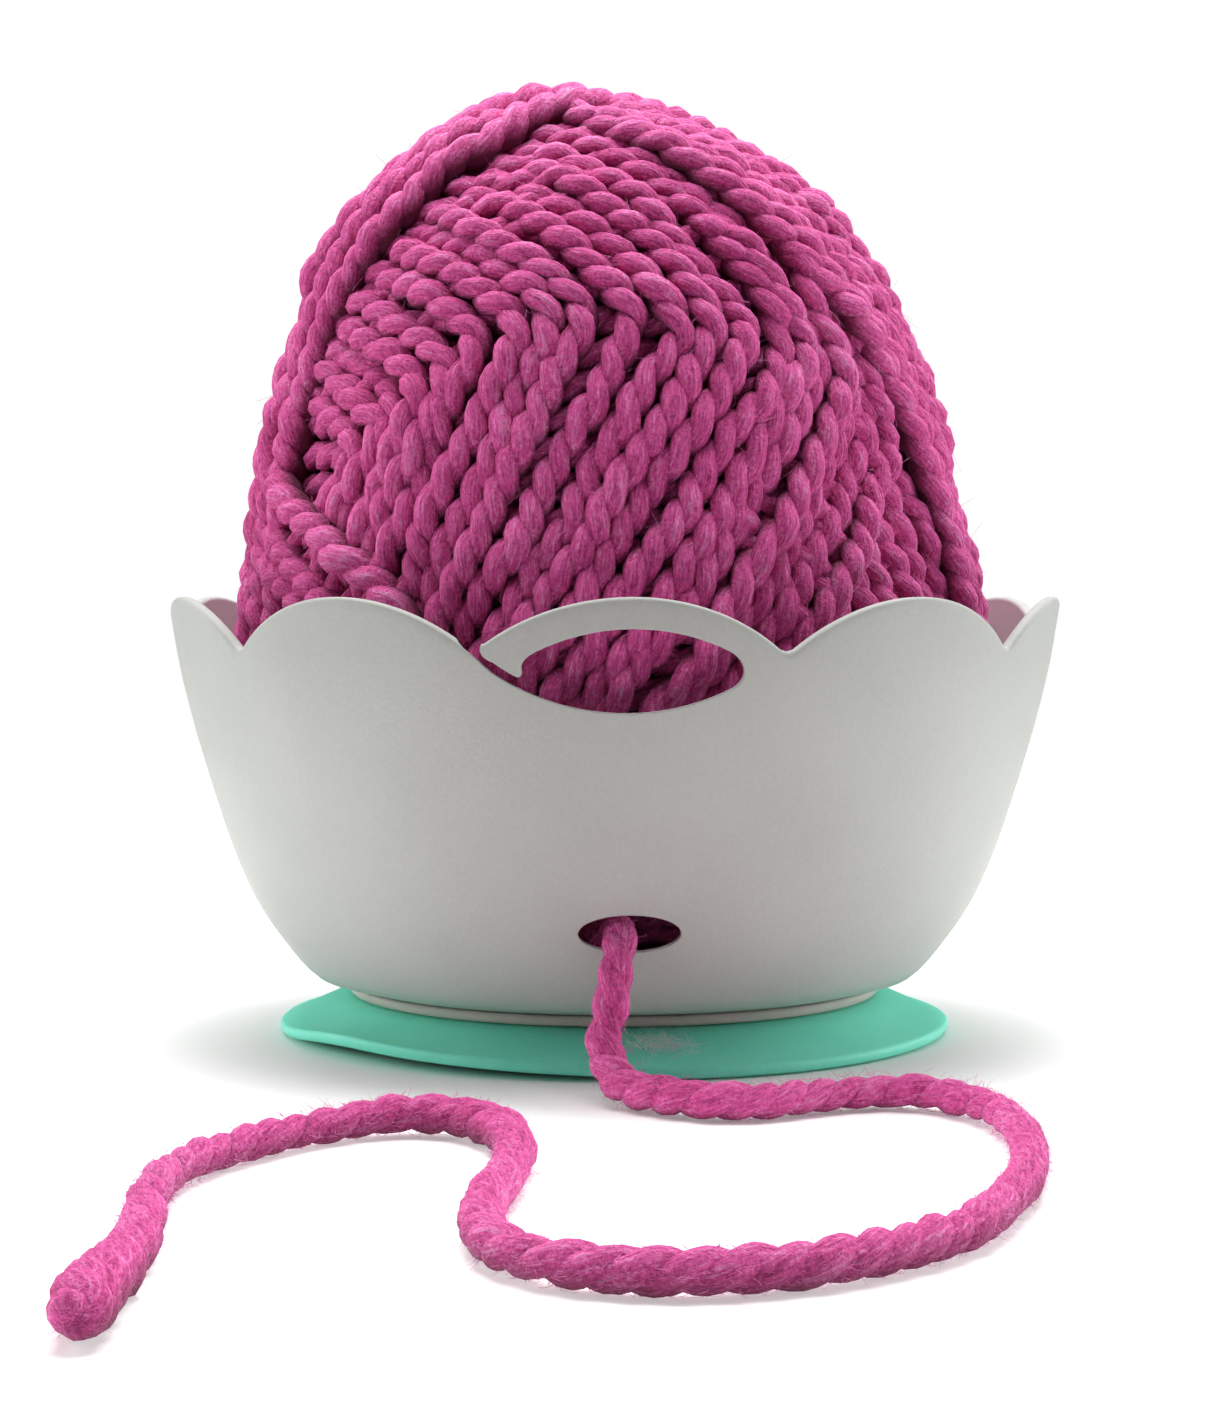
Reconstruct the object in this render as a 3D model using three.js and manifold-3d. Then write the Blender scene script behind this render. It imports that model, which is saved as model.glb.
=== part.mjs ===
// Yarn bowl with a scalloped rim, a hook-shaped yarn guide and a silicone suction base.
// Millimetres, +Z up. The origin is on the table, under the centre of the bowl; the hook faces -Y.
import * as THREE from 'three';
import { mergeVertices } from 'three/addons/utils/BufferGeometryUtils.js';
import Module from 'manifold-3d';

const wasm = await Module();
wasm.setup();

// ---- driving dimensions ----
const RIM_HEIGHT = 74; // top of the rim's lobes above the table
const WALL = 2; // thickness of the moulded wall
const UNDERSIDE = 8.4; // height of the bowl's flat underside
const FLOOR = 10.9; // height of the bowl's inside floor
const GAP = 0.3; // space between pieces that touch

const LOBES = 10; // scallops around the rim
const LOBE_RADIUS = 37; // arc of one scallop, measured around the wall
const HOOK_LOBE_RADIUS = 41; // flatter arc of the front lobe's left half, over the hook's arm
const NOTCH_DEPTH = 8; // how far a notch drops below a lobe
const RIM_RADIUS = 76;
const WAVE_START = 56; // the wall below this height is a plain bowl

const HOOK_BAND = 4.7; // width of the hook's arm, from the rim down
const EYE_RADIUS = 35.5; // arc of the eye's lower edge
const EYE_CENTRE = { x: -1, z: 92.4 }; // centre of that arc
const ENTRY_GAP = 1.3; // slot through which the yarn is slipped into the eye
const EYE_HALF_WIDTH = 14.2; // where the eye's two edges start to close at its right end
const TIP_X = -15.4; // where the hook's arm starts to round into its tip
const ENTRY_X = -20.7; // where the slot leaves the eye's lower edge and turns up to the rim
const CUTTER = { inside: -48, depth: 45 }; // the front cutters' start in Y, and their length

const HOLE = { z: 23.1, width: 15.6, height: 6 }; // oval yarn outlet, low in the wall

const RING = { outer: 45.4, inner: 42.6, bottom: 6.5, top: UNDERSIDE - GAP };
const BASE = {
  radius: 57.4, // of the suction skirt
  edge: 1.3, // thickness of the skirt's rim
  contact: 51, // inside this radius the underside rises off the table
  cavity: 2.6, // height of the suction cavity
  slope: { outer: 55.2, low: 2.8, inner: 47 }, // the skirt's cone, from its rim up to the ring
  boss: 42.2, // radius of the boss inside the foot ring
};

const YARN = 5.5; // diameter of the yarn
const BALL_BOTTOM = FLOOR + GAP;
const TAIL_START = -59; // Y of the plane where the inner yarn meets the tail
const EXIT_HEIGHT = 23.3; // the yarn's height as it crosses the wall

const WALL_SEGMENTS = 80; // a multiple of 20 puts a corner on each lobe and each notch
const BALL_SEGMENTS = 40;
const BASE_SEGMENTS = 60;
const YARN_SIDES = 8;
const YARN_STEP = 6.5; // length of one step of a yarn tube

// ---- materials ----
const shell = new THREE.MeshStandardMaterial({ color: 0xd2d2cb, roughness: 0.55, metalness: 0 });
const ringGrey = new THREE.MeshStandardMaterial({ color: 0xb4aea6, roughness: 0.6, metalness: 0 });
const silicone = new THREE.MeshStandardMaterial({ color: 0x6fd2b4, roughness: 0.5, metalness: 0 });
const wool = new THREE.MeshStandardMaterial({ color: 0xd1559b, roughness: 1, metalness: 0 });

// ---- solids and booleans ----
function positionsOnly(geometry) {
  const bare = geometry.clone();
  bare.deleteAttribute('normal');
  bare.deleteAttribute('uv');
  return mergeVertices(bare, 1e-4);
}

function solidOf(geometry) {
  const merged = positionsOnly(geometry);
  return new wasm.Manifold(
    new wasm.Mesh({
      numProp: 3,
      vertProperties: new Float32Array(merged.attributes.position.array),
      triVerts: new Uint32Array(merged.index.array),
    }),
  );
}

function geometryOf(solid) {
  const mesh = solid.getMesh();
  const geometry = new THREE.BufferGeometry();
  geometry.setAttribute('position', new THREE.BufferAttribute(mesh.vertProperties, 3));
  geometry.setIndex(new THREE.BufferAttribute(mesh.triVerts, 1));
  geometry.computeVertexNormals();
  return geometry;
}

// A profile of [radius, height] pairs spun about +Z; its seam is on the -Y side.
function spun(profile, segments) {
  const points = profile.map(([r, z]) => new THREE.Vector2(r, z));
  return new THREE.LatheGeometry(points, segments).rotateX(Math.PI / 2);
}

// A flat shape drawn in X and Z, cut straight through the front wall along Y.
function frontCutter(shape, curveSegments) {
  const { inside, depth } = CUTTER;
  const geometry = new THREE.ExtrudeGeometry(shape, { depth, bevelEnabled: false, curveSegments });
  return solidOf(geometry.rotateX(Math.PI / 2).translate(0, inside, 0));
}

// ---- bowl ----
const wallCurve = new THREE.SplineCurve(
  [
    [45.6, UNDERSIDE], [49.9, 9.1], [52.6, 10.8], [56.7, 15.6], [61.3, 22.5], [65.1, 31.1],
    [69.0, 43], [71.7, 52.5], [74.1, 62.5], [RIM_RADIUS, RIM_HEIGHT],
  ].map(([r, z]) => new THREE.Vector2(r, z)),
);
const wallPoints = wallCurve.getPoints(12);

// The wall's outside radius at a height.
function wallRadius(z) {
  const above = Math.max(1, wallPoints.findIndex((p) => p.y >= z));
  const [low, high] = [wallPoints[above - 1], wallPoints[above]];
  return low.x + ((high.x - low.x) * (z - low.y)) / (high.y - low.y);
}

// The rim's height at an angle from the front: arcs that meet in notches.
function rimHeight(angle) {
  const pitch = (2 * Math.PI) / LOBES;
  const across = (angle - pitch * Math.round(angle / pitch)) * RIM_RADIUS;
  const radius = angle > -pitch / 2 && angle < 0 ? HOOK_LOBE_RADIUS : LOBE_RADIUS;
  const drop = radius - Math.sqrt(radius ** 2 - across ** 2);
  return RIM_HEIGHT - Math.min(drop, NOTCH_DEPTH);
}

function bowlGeometry() {
  const outside = [9.1, 10.8, 15.6, 22.5, 31, 43, WAVE_START, 65, RIM_HEIGHT];
  const inside = [RIM_HEIGHT, 65, WAVE_START, 43, 31, 22.5, 17, 13.6];
  const profile = [
    [0, UNDERSIDE], [45.6, UNDERSIDE],
    ...outside.map((z) => [wallRadius(z), z]),
    ...inside.map((z) => [wallRadius(z) - WALL, z]),
    [48.5, FLOOR + 0.4], [45, FLOOR], [0, FLOOR],
  ];
  const geometry = spun(profile, WALL_SEGMENTS);
  const position = geometry.attributes.position;
  for (let i = 0; i < position.count; i += 1) {
    const [x, y, z] = [position.getX(i), position.getY(i), position.getZ(i)];
    if (z > WAVE_START) {
      const rim = rimHeight(Math.atan2(x, -y));
      const height = WAVE_START + ((z - WAVE_START) * (rim - WAVE_START)) / (RIM_HEIGHT - WAVE_START);
      const radius = Math.hypot(x, y);
      const wall = radius < wallRadius(z) - WALL / 2 ? WALL : 0;
      const scale = (wallRadius(height) - wall) / radius;
      position.setXYZ(i, x * scale, y * scale, height);
    }
  }
  return geometry;
}

// The hook's slot: a lens-shaped eye with a narrow way in from the notch on its left, where the next
// lobe's edge runs straight on into the eye's lower edge.
function hookSlot() {
  const bandRadius = LOBE_RADIUS - HOOK_BAND;
  const bandCentre = RIM_HEIGHT - LOBE_RADIUS;
  const lowEdge = (x, radius) => EYE_CENTRE.z - Math.sqrt(radius ** 2 - (x - EYE_CENTRE.x) ** 2);
  const topEdge = (x) => bandCentre + Math.sqrt(bandRadius ** 2 - x ** 2);
  const arc = (height, from, to) =>
    Array.from({ length: 13 }, (_, i) => {
      const x = from + ((to - from) * i) / 12;
      return new THREE.Vector2(x, height(x));
    });
  const entryRadius = EYE_RADIUS - ENTRY_GAP;
  const tip = { x: TIP_X - 1.6, z: lowEdge(TIP_X - 1.6, entryRadius) };
  const nextLobe = [[-23.4, 76], [-27, 70], [-25.5, 67.15], [-24.9, 66.4], [-23.3, 65.1], [-22.4, 64.3]];
  const shape = new THREE.Shape(nextLobe.map(([x, z]) => new THREE.Vector2(x, z)));
  arc((x) => lowEdge(x, EYE_RADIUS), ENTRY_X, EYE_HALF_WIDTH).forEach((p) => shape.lineTo(p.x, p.y));
  const rightEnd = { x: EYE_HALF_WIDTH + 4.2, z: 62.9 };
  shape.quadraticCurveTo(rightEnd.x, rightEnd.z, EYE_HALF_WIDTH, topEdge(EYE_HALF_WIDTH));
  arc(topEdge, EYE_HALF_WIDTH, TIP_X).forEach((p) => shape.lineTo(p.x, p.y));
  shape.bezierCurveTo(TIP_X - 1.8, topEdge(TIP_X) - 0.9, TIP_X, tip.z - 0.7, tip.x, tip.z);
  arc((x) => lowEdge(x, entryRadius), tip.x, ENTRY_X).forEach((p) => shape.lineTo(p.x, p.y));
  shape.bezierCurveTo(-22.9, 65.2, -23.4, 67.2, -20.2, 68.7);
  return frontCutter(shape, 5);
}

function yarnHole() {
  const oval = new THREE.Shape();
  oval.absellipse(0, HOLE.z, HOLE.width / 2, HOLE.height / 2, 0, 2 * Math.PI);
  return frontCutter(oval, 28);
}

// ---- yarn ----
const ballProfile = new THREE.SplineCurve(
  [
    [24, BALL_BOTTOM], [33, 13.4], [43.5, 21], [53, 32], [60, 45], [64, 60], [63.8, 76],
    [61.4, 86], [58.4, 101], [55.6, 115], [52, 129], [47.5, 138.5], [40, 147], [27, 155], [13, 160.2],
    [0, 161.6],
  ].map(([r, z]) => new THREE.Vector2(r, z)),
);

function ballGeometry() {
  const side = ballProfile.getPoints(20).map((p) => [Math.max(p.x, 0), Math.max(p.y, BALL_BOTTOM)]);
  side[side.length - 1] = [0, side[side.length - 1][1]];
  return spun([[0, BALL_BOTTOM], ...side], BALL_SEGMENTS);
}

function yarnTube(points) {
  const curve = new THREE.CatmullRomCurve3(points.map((p) => new THREE.Vector3(...p)), false, 'centripetal');
  const section = new THREE.Shape();
  section.absarc(0, 0, YARN / 2, 0, 2 * Math.PI);
  return new THREE.ExtrudeGeometry(section, {
    steps: Math.round(curve.getLength() / YARN_STEP),
    curveSegments: YARN_SIDES,
    extrudePath: curve,
  });
}

// From under the ball's edge, up off the floor and into the hole.
const leadRoute = [
  [-9, -41.5, 14.2], [-5.5, -46.4, 16.3], [-2.6, -50.4, 20.4], [-1.6, -53.8, 23.0],
  [-1.5, TAIL_START + 2.6, EXIT_HEIGHT], [-1.5, TAIL_START + GAP, EXIT_HEIGHT],
];

// Out of the hole, down over the foot and along the table to the cut end.
const onTable = YARN / 2 + 0.1;
const tailRoute = [
  [-1.5, TAIL_START, EXIT_HEIGHT], [-1.5, -60.8, EXIT_HEIGHT], [-1.7, -63.6, 22.3], [-2.2, -66.2, 19.2],
  [-2.9, -67.6, 14.8], [-3.8, -68.9, 10.2], [-4.0, -71.6, 6.6], [-3.0, -75.4, 4.1], [-0.3, -80.0, onTable],
  [4.2, -84.6, onTable], [9.4, -88.4, onTable], [15.9, -89.4, onTable], [22.9, -85.9, onTable],
  [30.0, -82.3, onTable], [37.3, -80.7, onTable], [43.9, -84.3, onTable], [48.6, -93.6, onTable],
  [50.2, -110.0, onTable], [48.2, -129.4, onTable], [41.7, -151.6, onTable], [33.0, -169.4, onTable],
  [23.4, -179.2, onTable], [12.8, -185.5, onTable], [1.4, -188.4, onTable], [-8.8, -186.4, onTable],
  [-16.6, -180.9, onTable], [-20.8, -171.4, onTable], [-21.3, -157.3, onTable],
  [-17.9, -131.3, onTable], [-17.8, -118.4, onTable], [-20.0, -108.2, onTable], [-25.2, -100.6, onTable],
  [-33.0, -98.4, onTable], [-41.4, -102.4, onTable], [-48.8, -110.4, onTable], [-55.5, -120.4, onTable],
  [-60.1, -132.3, onTable], [-61.4, -148.2, onTable], [-59.9, -168.8, onTable], [-61.1, -208.1, onTable],
];

// ---- foot ----
function ringGeometry() {
  const { outer, inner, bottom, top } = RING;
  const section = [[inner, bottom], [outer, bottom], [outer, top], [inner, top], [inner, bottom]];
  return spun(section, BASE_SEGMENTS);
}

// A soft cone on a flat rim, hollow underneath, with a boss that fits inside the foot ring.
function baseGeometry() {
  const { radius, edge, contact, cavity, slope, boss } = BASE;
  const underRing = RING.bottom - GAP;
  return spun(
    [
      [0, cavity + 0.6], [30, cavity], [contact - 3, 1.2], [contact, 0], [radius - 0.6, 0],
      [radius, edge / 2], [radius - 0.4, edge], [slope.outer, slope.low], [slope.inner, underRing - 0.2],
      [RING.outer + 0.4, underRing], [boss, underRing], [boss, RING.top], [0, RING.top],
    ],
    BASE_SEGMENTS,
  );
}

// ---- assembly ----
const yarnBowl = new THREE.Group();
yarnBowl.name = 'yarn_bowl';

function addPiece(name, geometry, material) {
  const mesh = new THREE.Mesh(geometry, material);
  mesh.name = name;
  yarnBowl.add(mesh);
}

const cutBowl = solidOf(bowlGeometry()).subtract(hookSlot()).subtract(yarnHole());
addPiece('bowl', geometryOf(cutBowl), shell);
addPiece('foot_ring', ringGeometry(), ringGrey);
addPiece('suction_base', baseGeometry(), silicone);
addPiece('yarn_ball', ballGeometry(), wool);
addPiece('yarn_lead', yarnTube(leadRoute), wool);
addPiece('yarn_tail', yarnTube(tailRoute), wool);

export default yarnBowl;
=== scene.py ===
# %% [markdown]
# # A yarn bowl and its skein
# The object is a plastic bowl with a scalloped rim, a hook cut into the front lobe, a yarn outlet low in
# the wall and a silicone suction foot. A skein of bulky two-ply yarn stands in it, and one strand runs out
# over the table. Blender works in metres, and `MM` turns the part's millimetres into them. The packed
# frame comes first, because every piece rides on one of its bodies.

# %% Load the frame
import math

import bmesh
import bpy
import numpy as np
from mathutils import Matrix, Vector


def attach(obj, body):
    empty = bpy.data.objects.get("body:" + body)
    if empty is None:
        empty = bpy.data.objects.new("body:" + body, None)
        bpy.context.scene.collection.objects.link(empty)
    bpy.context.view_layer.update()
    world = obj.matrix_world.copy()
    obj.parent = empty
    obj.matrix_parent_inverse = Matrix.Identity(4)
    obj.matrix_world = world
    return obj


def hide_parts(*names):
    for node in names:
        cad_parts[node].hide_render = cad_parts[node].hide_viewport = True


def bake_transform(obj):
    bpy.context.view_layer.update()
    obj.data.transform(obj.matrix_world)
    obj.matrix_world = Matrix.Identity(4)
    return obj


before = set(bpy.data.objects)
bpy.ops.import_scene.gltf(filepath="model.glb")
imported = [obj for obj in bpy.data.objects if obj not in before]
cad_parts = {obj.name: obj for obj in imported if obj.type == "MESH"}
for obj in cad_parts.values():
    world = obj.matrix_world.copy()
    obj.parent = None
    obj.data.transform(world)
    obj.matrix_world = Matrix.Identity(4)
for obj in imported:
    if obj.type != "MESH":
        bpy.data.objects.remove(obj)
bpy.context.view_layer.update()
MM = 0.001
print("nodes", sorted(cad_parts))

# %% [markdown]
# ## Camera
# A product like this is looked at from the height of its own rim. A short lens close by would bend the
# bowl, so a long lens stands half a metre off, two degrees left of the hook. The rim then reads as a line
# and the foot is seen a little from above.

# %% Camera
LENS = 70.7
CAMERA_DISTANCE = 480 * MM
CAMERA_HEIGHT = 74.1 * MM
CAMERA_PITCH = math.radians(90 - 2.31)
CAMERA_TURN = math.radians(-2.2)
CAMERA_AIM = math.radians(-2.05)

camera_data = bpy.data.cameras.new("camera")
camera_data.lens = LENS
camera = bpy.data.objects.new("camera", camera_data)
camera.location = Matrix.Rotation(CAMERA_TURN, 3, "Z") @ Vector((0, -CAMERA_DISTANCE, CAMERA_HEIGHT))
camera.rotation_euler = (CAMERA_PITCH, 0, CAMERA_AIM)
bpy.context.collection.objects.link(camera)
bpy.context.scene.camera = camera
print("camera at", [round(v, 4) for v in camera.location])

# %% [markdown]
# ## Helpers for meshes
# A piece is a mesh whose object stays at the origin, so its pattern can't slide when it is posed.
# `finished` gives it its material and its smooth faces, attaches it to the body it rides on and hides the
# solid of the frame that it stands for. A turned part, such as the shell or the foot, is a profile spun
# once round the axis, just as it would be turned on a lathe.

# %% Mesh helpers
def link(name, mesh):
    piece = bpy.data.objects.new(name, mesh)
    bpy.context.collection.objects.link(piece)
    return piece


def keep_creases(mesh, degrees):
    """Marks the edges that turn by more than an angle as sharp, so smooth shading stops at them."""
    bm = bmesh.new()
    bm.from_mesh(mesh)
    for edge in bm.edges:
        if edge.is_manifold and edge.calc_face_angle() > math.radians(degrees):
            edge.smooth = False
    bm.to_mesh(mesh)
    bm.free()


def finished(piece, material, body=None, node=None, crease=None):
    """Gives a piece its material and its place in the frame; crease is the angle that stays sharp."""
    piece.data.materials.clear()
    piece.data.materials.append(material)
    piece.data.shade_smooth()
    if crease:
        keep_creases(piece.data, crease)
    if body:
        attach(piece, body)
    if node:
        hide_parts(node)
    print(piece.name, "has", len(piece.data.polygons), "faces and rides on", body or "two bodies")
    return piece


def spin_profile(name, profile, steps):
    """A profile of (radius, height) in millimetres, spun once about +Z."""
    bm = bmesh.new()
    verts = [bm.verts.new((0, -r * MM, z * MM)) for r, z in profile]
    edges = [bm.edges.new(pair) for pair in zip(verts, verts[1:])]
    bmesh.ops.spin(bm, geom=verts + edges, cent=(0, 0, 0), axis=(0, 0, 1), angle=2 * math.pi,
                   steps=steps, use_merge=True)
    bmesh.ops.remove_doubles(bm, verts=bm.verts, dist=1e-6)
    bmesh.ops.recalc_face_normals(bm, faces=bm.faces)
    mesh = bpy.data.meshes.new(name)
    bm.to_mesh(mesh)
    bm.free()
    return mesh


# %% [markdown]
# ## Helpers for materials
# Node trees could be wired by hand, node by node, but sums read better as Python. `Socket` wraps an output
# socket, and each operator adds the Math node that does it. Every other node comes from `Nodes.add`, which
# takes the node's type, its settings and what goes into its sockets.

# %% Shader maths
class Socket:
    def __init__(self, nodes, output):
        self.nodes = nodes
        self.output = output

    def math(self, operation, *others):
        return self.nodes.add("ShaderNodeMath", {"operation": operation}, {
            i: value for i, value in enumerate((self, *others))})

    def __add__(self, other):
        return self.math("ADD", other)

    def __sub__(self, other):
        return self.math("SUBTRACT", other)

    def __rsub__(self, other):
        return self.nodes.add("ShaderNodeMath", {"operation": "SUBTRACT"}, {0: other, 1: self})

    def __mul__(self, other):
        return self.math("MULTIPLY", other)

    def clamp(self, low, high):
        return self.math("MAXIMUM", low).math("MINIMUM", high)


class Nodes:
    """A material's node tree, with the shader at its end."""

    def __init__(self, name, **constants):
        self.material = bpy.data.materials.new(name)
        self.material.use_nodes = True
        self.tree = self.material.node_tree
        self.shader = self.tree.nodes["Principled BSDF"]
        for socket, value in constants.items():
            self.shader.inputs[socket.replace("_", " ")].default_value = value

    def put(self, node, key, value):
        if isinstance(value, Socket):
            self.tree.links.new(value.output, node.inputs[key])
        else:
            node.inputs[key].default_value = value

    def add(self, kind, settings=None, inputs=None, output=0):
        node = self.tree.nodes.new(kind)
        for key, value in (settings or {}).items():
            if key == "stops":
                ramp = node.color_ramp
                while len(ramp.elements) < len(value):
                    ramp.elements.new(0.5)
                for element, (place, colour) in zip(ramp.elements, value):
                    element.position = place
                    element.color = colour
            else:
                setattr(node, key, value)
        for key, value in (inputs or {}).items():
            self.put(node, key, value)
        return Socket(self, node.outputs[output])

    def set(self, name, value):
        self.put(self.shader, name, value)

    def object_coords(self):
        return self.add("ShaderNodeTexCoord", output="Object")

    def noise(self, vector, scale, detail=2.0, roughness=0.5):
        return self.add("ShaderNodeTexNoise", {"noise_dimensions": "3D"}, {
            "Vector": vector, "Scale": scale, "Detail": detail, "Roughness": roughness})

    def ramp(self, factor, *stops):
        return self.add("ShaderNodeValToRGB", {"stops": stops}, {"Fac": factor})

    def mix(self, factor, a, b):
        node = self.tree.nodes.new("ShaderNodeMix")
        node.data_type = "RGBA"
        for key, value in ((0, factor), (6, a), (7, b)):
            self.put(node, key, value)
        return Socket(self, node.outputs[2])

    def bump(self, height, distance, normal=None):
        inputs = {"Height": height, "Distance": distance}
        if normal:
            inputs["Normal"] = normal
        return self.add("ShaderNodeBump", None, inputs)


# %% [markdown]
# ## Yarn
# The yarn is two soft plies laid round each other. Rope drawn on a smooth tube would stay flat in the
# light, so each ply is a tube of its own that winds round the strand's centre line, and the two press into
# each other as soft plies do. First come the few tools that a line of points needs: its length, even steps
# along it, smoothing, and noise that drifts slowly, because no spun yarn is even.

# %% Lines of points
YARN_STEP = 1.05 * MM


def along(points):
    """Distance along a line of points, from its start."""
    steps = np.linalg.norm(np.diff(points, axis=0), axis=1)
    return np.concatenate([[0.0], np.cumsum(steps)])


def evenly(points, step):
    """The same line with points an even step apart."""
    distance = along(points)
    count = max(4, int(round(distance[-1] / step)) + 1)
    places = np.linspace(0, distance[-1], count)
    return np.stack([np.interp(places, distance, points[:, i]) for i in range(3)], axis=1)


def unit(vectors):
    return vectors / np.maximum(np.linalg.norm(vectors, axis=1, keepdims=True), 1e-12)


def smoothed(points, reach, rounds=2):
    """Each point moves to the middle of its neighbours within reach, ends kept."""
    for _ in range(rounds):
        first, last = np.repeat(points[:1], reach, 0), np.repeat(points[-1:], reach, 0)
        padded = np.concatenate([first, points, last])
        kernel = np.ones(2 * reach + 1) / (2 * reach + 1)
        moved = np.stack([np.convolve(padded[:, i], kernel, "valid") for i in range(3)], axis=1)
        moved[0], moved[-1] = points[0], points[-1]
        points = moved
    return points


def slow_noise(rng, count, spacing, size):
    """Random values that change slowly along a strand."""
    knots = rng.normal(0, size, max(2, count // spacing + 2))
    return np.interp(np.arange(count) / spacing, np.arange(len(knots)), knots)


print("points stand", round(YARN_STEP / MM, 2), "mm apart")

# %% [markdown]
# Every strand, ply and loose fibre here is a round tube along a line. The tubes could be built face by
# face, but a curve with a bevel makes them at once: each line is a spline, and its radius varies from
# point to point. The curve is then turned into a mesh, and the tubes' open ends are filled, so no piece is
# hollow.

# %% Tubes
def tubes(name, lines, radius, bevel_setting):
    """Round tubes as one mesh; lines is a list of (points, thicknesses), where thickness 1 is radius."""
    curve = bpy.data.curves.new(name, "CURVE")
    curve.dimensions = "3D"
    curve.bevel_depth = radius
    curve.bevel_resolution = bevel_setting
    for points, thickness in lines:
        spline = curve.splines.new("POLY")
        spline.points.add(len(points) - 1)
        spline.points.foreach_set("co", np.column_stack([points, np.ones(len(points))]).ravel())
        spline.points.foreach_set("radius", thickness)
    carrier = bpy.data.objects.new(name, curve)
    bpy.context.collection.objects.link(carrier)
    mesh = bpy.data.meshes.new_from_object(carrier)
    bpy.data.objects.remove(carrier)
    bm = bmesh.new()
    bm.from_mesh(mesh)
    bmesh.ops.holes_fill(bm, edges=[e for e in bm.edges if e.is_boundary], sides=4 + 2 * bevel_setting)
    bm.to_mesh(mesh)
    bm.free()
    mesh.name = name
    return mesh


# %% [markdown]
# `ply_lines` finds where the two plies run. `LAY_LENGTH` is how far along the strand a ply goes once
# round. At both ends the plies close up on each other, which rounds the end off. `yarn_mesh` makes the
# tubes and gives their points three attributes for the wool to read. `fibre` is the way round the ply and
# the way along it, so that a pattern can follow the twist. `crown` says how far a point stands out of the
# winding, and `crease` how far it is from the groove between the plies; the wool reads both to paint shade
# into its colour.

# %% Lay the plies
PLY_RADIUS = 1.68 * MM
PLY_OFFSET = 1.22 * MM
PLY_UNEVEN = 0.10
LAY_LENGTH = 11 * MM
LAY_UNEVEN = 0.07
CREASE_SHADE_REACH = 0.9 * MM
CREASE_SHADE_FADE = 4
OPENING_AT_END = (0, 0.45, 0.85)
ROUND_AT_END = (0.6, 0.9)


def ply_lines(line, away, plump, rng, twist):
    """The two plies round one strand: centre line, thickness and how open. away points off the surface."""
    tangent = unit(np.gradient(line, axis=0))
    side = unit(np.cross(tangent, away))
    up = np.cross(side, tangent)
    lay = LAY_LENGTH * (1 + LAY_UNEVEN * rng.standard_normal())
    turn = 2 * math.pi * along(line) / lay + slow_noise(rng, len(line), 9, 0.3) + rng.uniform(0, 2 * math.pi)
    opening = np.ones(len(line))
    opening[:3] = OPENING_AT_END
    opening[-3:] = OPENING_AT_END[::-1]
    round_end = np.ones(len(line))
    round_end[:2] = ROUND_AT_END
    round_end[-2:] = ROUND_AT_END[::-1]
    for ply in range(2):
        angle = (turn + ply * math.pi)[:, None]
        spread = (twist * PLY_OFFSET * opening * plump)[:, None]
        centre = line + spread * (np.cos(angle) * side + np.sin(angle) * up)
        yield centre, (1 + slow_noise(rng, len(line), 3, PLY_UNEVEN)) * round_end * plump, opening


def yarn_mesh(name, strands, seed, loft=1.0, side_shade=1.0, bevel_setting=2, twist=1.0, plump=1.0):
    """strands is a list of (line, away); loft swells the plies, side_shade darkens their sides as painted
    shade.
    """
    rng = np.random.default_rng(seed)
    sides = 4 + 2 * bevel_setting
    around = np.arange(sides) * 2 * math.pi / sides
    plies, fibres, roots, others, ups, openings = [], [], [], [], [], []
    for line, away in strands:
        for centre, thickness, opening in ply_lines(line, away, plump, rng, twist):
            plies.append((centre, thickness))
            place = along(centre) + rng.uniform(0, 5)
            fibres.append(np.stack([
                np.tile(np.cos(around), len(centre)) * PLY_RADIUS,
                np.tile(np.sin(around), len(centre)) * PLY_RADIUS,
                np.repeat(place, sides)], axis=1))
            roots.append(np.repeat(line, sides, 0))
            others.append(np.repeat(2 * line - centre, sides, 0))
            ups.append(np.repeat(away, sides, 0))
            openings.append(np.repeat(opening, sides))
    mesh = tubes(name, plies, PLY_RADIUS * loft, bevel_setting)
    attribute = mesh.attributes.new("fibre", "FLOAT_VECTOR", "POINT")
    attribute.data.foreach_set("vector", np.concatenate(fibres).astype(np.float32).ravel())
    spots = np.empty(len(mesh.vertices) * 3, np.float32)
    mesh.vertices.foreach_get("co", spots)
    spots = spots.reshape(-1, 3)
    # Painted shade: the wool darkens the plies' sides and undersides by crown, their groove by crease.
    crown = np.sum((spots - np.concatenate(roots)) * np.concatenate(ups), axis=1) / (PLY_OFFSET + PLY_RADIUS)
    crease = (np.linalg.norm(spots - np.concatenate(others), axis=1) - PLY_RADIUS) / CREASE_SHADE_REACH
    crease = crease + CREASE_SHADE_FADE * (1 - np.concatenate(openings))
    for attribute_name, values in (("crown", 1 - side_shade * (1 - crown)), ("crease", crease)):
        attribute = mesh.attributes.new(attribute_name, "FLOAT", "POINT")
        attribute.data.foreach_set("value", values.astype(np.float32))
    return mesh
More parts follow.
